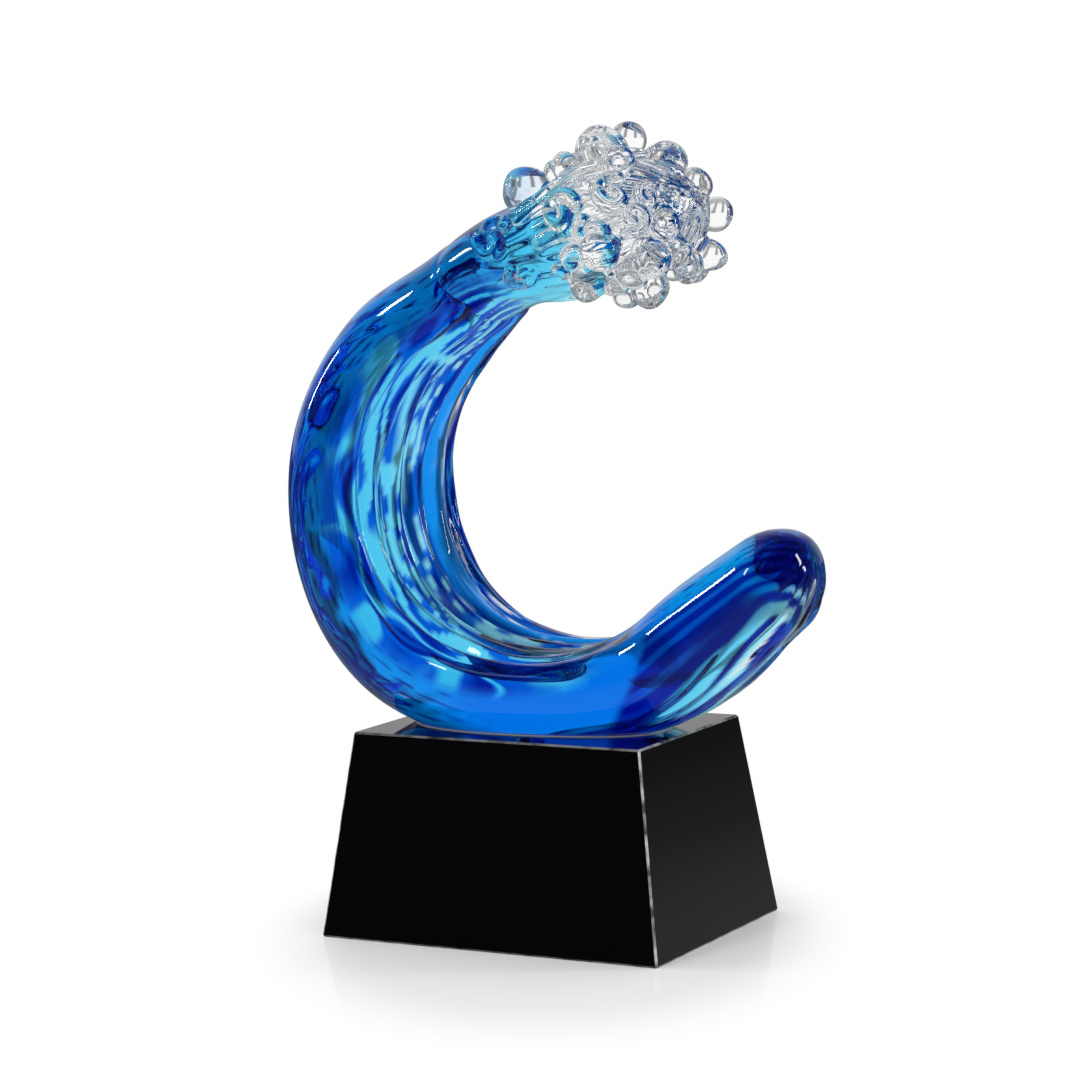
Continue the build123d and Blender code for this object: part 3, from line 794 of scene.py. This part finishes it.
# The stored colour is the glass's colour with the painted shade and painted highlights in it.
colour = blend(CLEAR, side_colour, rise(skin_share, *FRONT_SHARE))
colour = blend(colour, face_colour, rise(skin_out, *INNER_OUT) * rise(skin_at, *INNER_END))
colour = blend(colour, CLEAR, rise(skin_at, *NECK_FADE))
stain_and_painted_light = np.ones((len(colour), 4), np.float32)
stain_and_painted_light[:, :3] = colour ** 2
skin_mesh.attributes.new("stain_and_painted_light", "FLOAT_COLOR", "POINT").data.foreach_set("color", stain_and_painted_light.ravel())
print("stain on", len(stain_and_painted_light), "points")

# %% [markdown]
# ## Blue core
#
# The core is the gather that the clear glass was put over. It is the same wave, drawn in from the skin,
# more at the back edge and under the lobe, where the glass stays clear. Long streaks in its thickness give
# paler and darker threads.

# %% Core
CORE_WALL, CORE_BACK_WALL, CORE_INNER_WALL = 3.2, 4.2, 4.2
CORE_UNDER = [(LOBE_END, 12), (LOBE_START, 9), (ring(-15), 4.5), (0, 3.2), (CREST_START, 3.2),
              (CREST_END, 3.2)]
CORE_START, CORE_LOBE_NOSE = LOBE_END + 11.0, 24.0
CORE_END, CORE_CREST_NOSE = NECK_START + 46.0, 38.0
CORE_ROWS, CORE_COLUMNS = 220, 96
CORE_STREAK_HEIGHT, CORE_STREAK_WAVES = 0.7, ((6, 14), (40, 120))
GROUND_RUN, TIP_LOWER = ring(30), 1 / 6


def core_oval(at, turn):
    """Depth of the core, its distance from the inner face and its closing: the wave's own section, drawn in
    by the walls and thinner over the ground foot."""
    thick, half = along(THICKNESS, at), along(WIDTH, at) / 2
    ground = GRIND_DEPTH * np.exp(-(at / GROUND_RUN) ** 2)
    low, high, rim = CORE_INNER_WALL, thick - along(CORE_UNDER, at) - ground, along(RIM, at) * thick
    across, out = np.cos(turn), np.sin(turn)
    share = np.sign(across) * np.abs(across) ** ACROSS_POWER
    outer = rim + (high - rim) * np.maximum(out, 0) ** OUTER_POWER
    inner = rim - (rim - low) * np.maximum(-out, 0) ** along(FACE, at)
    deep = np.where(out >= 0, outer, inner) - BACK_LIP * along(RIPPLE, at) * smooth(np.maximum(share, 0))
    depth = np.where(across > 0, half - CORE_BACK_WALL, half - CORE_WALL) * share
    close = closing(at, CORE_START, CORE_LOBE_NOSE, CORE_END, CORE_CREST_NOSE)
    middle = (low + high) / 2 + (high - low) * TIP_LOWER * (1 - close)
    return depth * close, middle + (deep - middle) * close + along(SHIFT, at), close


core_at = np.linspace(CORE_START, CORE_END, CORE_ROWS + 2)[1:-1, None]
core_turn = np.linspace(0, 2 * np.pi, CORE_COLUMNS, endpoint=False)[None]
depth, deep, close = core_oval(core_at, core_turn)
streaks = ripple_field(core_at, depth, *CORE_STREAK_WAVES, RIPPLE_SEED + 2)
deep = deep + CORE_STREAK_HEIGHT * np.sin(core_turn) * close * streaks
core_grid = lay_out(np.broadcast_to(core_at, depth.shape), depth, deep)
core_ends = []
for end in (CORE_START, CORE_END):
    tip_depth, tip_deep, _ = core_oval(np.array([end]), np.array([0.0]))
    core_ends.append(lay_out(np.array([end]), tip_depth, tip_deep)[0])
core_points, core_faces = tube_points(core_grid, *core_ends), tube_faces(*core_grid.shape[:2])
core_piece = new_piece("blue_core_glass", core_points, core_faces, blue_glass)
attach(core_piece, "root")
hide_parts("blue_core")
print("blue core", len(core_piece.data.polygons), "faces")

# %% [markdown]
# ## Node helpers
#
# Finishes, the floor and the world are small networks of nodes. A few helpers keep them readable: one adds a
# node with its values and links, and the others do arithmetic, stretch a value, turn it into a grey level,
# take its share in a direction and mix.

# %% Node helpers
WHITE = (1, 1, 1, 1)


def put(socket, value):
    """Value or link on an input."""
    if isinstance(value, bpy.types.NodeSocket):
        tree.links.new(value, socket)
    else:
        socket.default_value = value


def add(kind, **values):
    """New node in the tree at hand, with values or links on its named inputs or attributes."""
    node = tree.nodes.new(kind)
    for name, value in values.items():
        if name in node.inputs:
            put(node.inputs[name], value)
        else:
            setattr(node, name, value)
    return node


def math(operation, *values):
    """Result of a Math node on sockets and numbers."""
    node = add("ShaderNodeMath", operation=operation)
    for socket, value in zip(node.inputs, values):
        put(socket, value)
    return node.outputs["Value"]


def spread(source, low, high, start=0.0, stop=1.0, kind="LINEAR"):
    """Value that goes from start to stop while a source goes from low to high."""
    ends = {"From Min": low, "From Max": high, "To Min": start, "To Max": stop}
    return add("ShaderNodeMapRange", interpolation_type=kind, Value=source, **ends).outputs["Result"]


def ramp(source, low, high, stops):
    """Grey level from a value between low and high, through stops of value and grey."""
    node = add("ShaderNodeValToRGB", Fac=spread(source, low, high))
    points = node.color_ramp.elements
    while len(points) < len(stops):
        points.new(0.5)
    for point, (spot, grey) in zip(points, stops):
        point.position = (spot - low) / (high - low)
        point.color = (grey, grey, grey, 1)
    return node.outputs["Color"]


def noise(scale, detail):
    """Noise in a piece's own coordinates."""
    where = add("ShaderNodeTexCoord").outputs["Object"]
    return add("ShaderNodeTexNoise", Vector=where, Scale=scale, Detail=detail).outputs["Fac"]


def toward(vector, heading):
    """Share of a vector that lies in a direction."""
    node = add("ShaderNodeVectorMath", operation="DOT_PRODUCT")
    put(node.inputs[0], vector)
    put(node.inputs[1], heading)
    return node.outputs["Value"]


def mixed(factor, first, second):
    """Value that goes from first to second by a factor."""
    rest = math("MULTIPLY", math("SUBTRACT", 1.0, factor), first)
    return math("ADD", rest, math("MULTIPLY", factor, second))


def mixed_colour(factor, first, second):
    """Colour that goes from first to second by a factor."""
    return add("ShaderNodeMix", data_type="RGBA", Factor=factor, A=first, B=second).outputs["Result"]


def mixed_shader(factor, first, second):
    """Shader that goes from first to second by a factor."""
    node = add("ShaderNodeMixShader", Fac=factor)
    put(node.inputs[1], first)
    put(node.inputs[2], second)
    return node.outputs["Shader"]


# %% [markdown]
# ## Black block and adhesive
#
# The block's solid already has its drafts and chamfers, so it keeps its mesh and gets a finish: near black,
# polished, with the faint haze that fingers and cloths leave. Its narrow chamfers carry a painted highlight:
# pale in the base colour, brightest on the upright edges, dimmer along the top and broken up by noise. Only
# a chamfer faces along two axes at once, so the normals tell where they are. The film of adhesive is milky
# and clouded.

# %% Block
BLACK, HIGHLIGHT_WHITE, BLOCK_INDEX = (0.0015, 0.0015, 0.002, 1), (0.75, 0.76, 0.78, 1), 1.5
HAZE_NOISE, HAZE_RANGE, HAZE_ROUGHNESS = (60.0, 6.0), (0.35, 0.75), (0.015, 0.05)
HIGHLIGHT_BREAK_NOISE, HIGHLIGHT_BREAK_RANGE, HIGHLIGHT_BREAK_LEVELS = (160.0, 4.0), (0.38, 0.62), (0.1, 1.0)
EDGE_FROM, EDGE_HIGHLIGHT = 0.28, [("X", "Y", 0.8), ("Y", "Z", 0.22), ("X", "Z", 0.45)]
FILM_COLOURS = (0.42, 0.47, 0.52, 1), (0.58, 0.63, 0.68, 1)
FILM_NOISE, FILM_ROUGHNESS = (90.0, 3.0), 0.15

black_crystal = node_material("black_crystal")
tree = black_crystal.node_tree
shader = tree.nodes["Principled BSDF"]
shader.inputs["IOR"].default_value = BLOCK_INDEX
put(shader.inputs["Roughness"], spread(noise(*HAZE_NOISE), *HAZE_RANGE, *HAZE_ROUGHNESS))
facing = add("ShaderNodeSeparateXYZ", Vector=add("ShaderNodeTexCoord").outputs["Normal"]).outputs
# Painted highlight: the chamfers are made pale in the base colour, brightest on the upright edges, broken up
# by noise.
painted_highlight = 0.0
for first, second, grey in EDGE_HIGHLIGHT:
    both = math("ABSOLUTE", math("MULTIPLY", facing[first], facing[second]))
    painted_highlight = math("MAXIMUM", painted_highlight, math("MULTIPLY", math("GREATER_THAN", both, EDGE_FROM), grey))
painted_highlight = math("MULTIPLY", painted_highlight, spread(noise(*HIGHLIGHT_BREAK_NOISE), *HIGHLIGHT_BREAK_RANGE, *HIGHLIGHT_BREAK_LEVELS))
put(shader.inputs["Base Color"], mixed_colour(painted_highlight, BLACK, HIGHLIGHT_WHITE))

adhesive = node_material("clear_adhesive")
tree = adhesive.node_tree
shader = tree.nodes["Principled BSDF"]
shader.inputs["Roughness"].default_value = FILM_ROUGHNESS
put(shader.inputs["Base Color"], mixed_colour(noise(*FILM_NOISE), *FILM_COLOURS))

for name, material in (("base_block", black_crystal), ("bond_film", adhesive)):
    nodes[name].data.materials.clear()
    nodes[name].data.materials.append(material)
    print(name, "has the finish", material.name)

# %% [markdown]
# ## World
#
# Glass shows what is behind it and a black block shows what is in front of it, so the world gives each kind
# of ray its own picture: white for the camera, a dark room for mirrors, and for light that comes through
# glass a white horizon under a dark ceiling, with grey cards round the object. Without dark cards, clear
# glass on white would have no lines in it. The cards are rows of degrees to the right and grey levels.

# %% World
CEILING = [(-1, 0.9), (0, 1.0), (0.5, 1.0), (0.66, 0.35), (0.9, 0.35), (0.96, 0.9)]
HIGH_CARDS = [(-180, 0.5), (-150, 0.2), (-115, 0.2), (-98, 0.9), (-62, 0.9), (-54, 0.2), (-40, 0.2),
              (-32, 1.0), (32, 1.0), (40, 0.2), (54, 0.2), (62, 0.9), (98, 0.9), (115, 0.2), (150, 0.2),
              (180, 0.5)]
LOW_CARDS = [(-180, 0.5), (-120, 0.25), (-90, 0.7), (-62, 0.9), (-46, 0.3), (-30, 0.3), (-23, 1.0),
             (-15, 1.0), (-11.5, 0.3), (-8.5, 0.3), (-6, 1.0), (6, 1.0), (9, 0.3), (12, 0.3), (15, 1.0),
             (19, 1.0), (23, 0.5), (30, 0.6), (36, 0.4), (60, 0.35), (85, 0.5), (110, 0.6), (135, 0.3),
             (180, 0.5)]
ROOM, ROOM_RISE = [(-1, 0.006), (-0.3, 0.012), (0.5, 0.05), (0.7, 0.1), (0.9, 0.5), (1, 0.58)], 0.11
LIGHT_LEVEL = 0.95

away = -direction(VIEW_AZIMUTH, 0)


def cards(vector, stops):
    """Grey level of the cards round the object."""
    turn = math("ARCTAN2", toward(vector, level), toward(vector, away))
    return ramp(math("DEGREES", turn), -180, 180, stops)


world = bpy.data.worlds.new("studio")
world.use_nodes = True
scene.world = world
tree = world.node_tree
tree.nodes.clear()
rays = add("ShaderNodeLightPath").outputs
looked = add("ShaderNodeTexCoord").outputs["Generated"]
through = math("MULTIPLY", ramp(toward(looked, (0, 0, 1)), -1, 1, CEILING), cards(looked, HIGH_CARDS))
mirrored = ramp(toward(looked, -direction(VIEW_AZIMUTH, -ROOM_RISE)), -1, 1, ROOM)
strength = mixed(rays["Is Glossy Ray"], LIGHT_LEVEL, mirrored)
strength = mixed(rays["Is Transmission Ray"], strength, through)
strength = mixed(rays["Is Camera Ray"], strength, 1.0)
background = add("ShaderNodeBackground", Color=WHITE, Strength=strength)
add("ShaderNodeOutputWorld", Surface=background.outputs["Background"])
print("world has", len(tree.nodes), "nodes")

# %% [markdown]
# ## Lamps
#
# The bright windows on the glass are mirror images of softboxes: two on the left, one in front and a strip
# on the right. Small lamps would give dots. Neither the camera nor light through the glass sees them.

# %% Lamps
AIM = np.array([0.0, 0.0, 0.15])


def softbox(name, azimuth, elevation, distance, size, radiance):
    """Area lamp that faces the object, set by its direction from it, its size and how bright it looks."""
    z = direction(*np.radians([azimuth, elevation]))
    x = np.cross([0, 0, 1], z)
    x /= np.linalg.norm(x)
    lamp = bpy.data.lights.new(name, "AREA")
    lamp.shape, lamp.size, lamp.size_y = "RECTANGLE", *size
    lamp.energy = radiance * np.pi * size[0] * size[1]
    piece = bpy.data.objects.new(name, lamp)
    piece.visible_camera = piece.visible_transmission = False
    set_up(piece, x, np.cross(z, x), z, AIM + distance * z)
    print(name, round(lamp.energy, 2), "watts")


softbox("left_window", -74, 36, 1.1, (0.12, 0.12), 26.0)
softbox("left_strip", -97, 15, 1.2, (0.06, 0.24), 14.0)
softbox("front_window", -16, 42, 1.2, (0.12, 0.3), 16.0)
softbox("right_strip", 118, 18, 1.2, (0.12, 0.5), 12.0)

# %% [markdown]
# ## Floor
#
# The object stands on a plain white floor that runs into the white background. In a rounded patch at the
# block it is painted and a little glossy, so that it takes a soft shadow and a mirror image. Further out it
# glows white, which leaves no line at the horizon. Light through glass finds the grey cards on it, and in
# the block's polished faces it is dim.

# %% Floor
FLOOR_HALF, FLOOR_PAINT = 6.0, (0.95, 0.95, 0.955, 1)
FLOOR_GLOSS, FLOOR_ROUGHNESS = 0.14, 0.04
PATCH_FRONT, PATCH_BACK, PATCH_SIDE, PATCH_FADE = 0.165, 0.12, 0.096, 0.65
TABLE = [(0.0, 1.0), (0.16, 1.0), (0.22, 0.6), (0.42, 0.6), (0.56, 1.0)]
CARDS_FROM, NEAR_GREY = [(0.25, 0.0), (0.55, 1.0)], 0.85
MIRRORED = [(0.0, 0.23), (0.1, 0.22), (0.5, 0.11), (1.2, 0.05)]

floor_mesh = bpy.data.meshes.new("floor")
corners = FLOOR_HALF * np.array([(-1, -1, 0), (1, -1, 0), (1, 1, 0), (-1, 1, 0)])
floor_mesh.from_pydata(corners.tolist(), [], [(0, 1, 2, 3)])
floor = bpy.data.objects.new("floor", floor_mesh)
scene.collection.objects.link(floor)
white_floor = node_material("white_floor")
floor_mesh.materials.append(white_floor)
tree = white_floor.node_tree
tree.nodes.remove(tree.nodes["Principled BSDF"])
rays = add("ShaderNodeLightPath").outputs
spot = add("ShaderNodeTexCoord").outputs["Object"]
behind, aside = toward(spot, away), toward(spot, level)
length = add("ShaderNodeVectorMath", operation="LENGTH")
put(length.inputs[0], spot)
reach = length.outputs["Value"]

paint = add("ShaderNodeBsdfDiffuse", Color=FLOOR_PAINT).outputs["BSDF"]
polish = add("ShaderNodeBsdfGlossy", Color=WHITE, Roughness=FLOOR_ROUGHNESS).outputs["BSDF"]
near = mixed_shader(FLOOR_GLOSS, paint, polish)

standing = mixed(ramp(reach, 0, 1, CARDS_FROM), NEAR_GREY, cards(spot, LOW_CARDS))
through = math("MULTIPLY", standing, ramp(behind, 0, 1, TABLE))
strength = mixed(rays["Is Transmission Ray"], 1.0, through)
glow = add("ShaderNodeEmission", Color=WHITE, Strength=strength).outputs["Emission"]

deep_share = math("MAXIMUM", math("DIVIDE", behind, PATCH_BACK), math("DIVIDE", behind, -PATCH_FRONT))
side_share = math("DIVIDE", aside, PATCH_SIDE)
squares = [math("MULTIPLY", share, share) for share in (deep_share, side_share)]
fade = spread(math("SQRT", math("ADD", *squares)), PATCH_FADE, 1.0, kind="SMOOTHSTEP")
seen = mixed_shader(fade, near, glow)

dim = add("ShaderNodeEmission", Color=WHITE, Strength=ramp(reach, 0, 2, MIRRORED)).outputs["Emission"]
in_mirror = math("MAXIMUM", math("SUBTRACT", rays["Is Glossy Ray"], rays["Is Transmission Ray"]), 0.0)
put(tree.nodes["Material Output"].inputs["Surface"], mixed_shader(in_mirror, seen, dim))
print("floor has", len(tree.nodes), "nodes")

# %% [markdown]
# ## Colours and bounces
#
# The colours go out as they are, without a film curve, so that white stays white. A path through the foam
# crosses many walls, so light may bend often before it is given up.

# %% Finish
scene.view_settings.view_transform = "Standard"
scene.cycles.max_bounces = 32
scene.cycles.transmission_bounces = 32
scene.cycles.glossy_bounces = 12
scene.cycles.transparent_max_bounces = 16
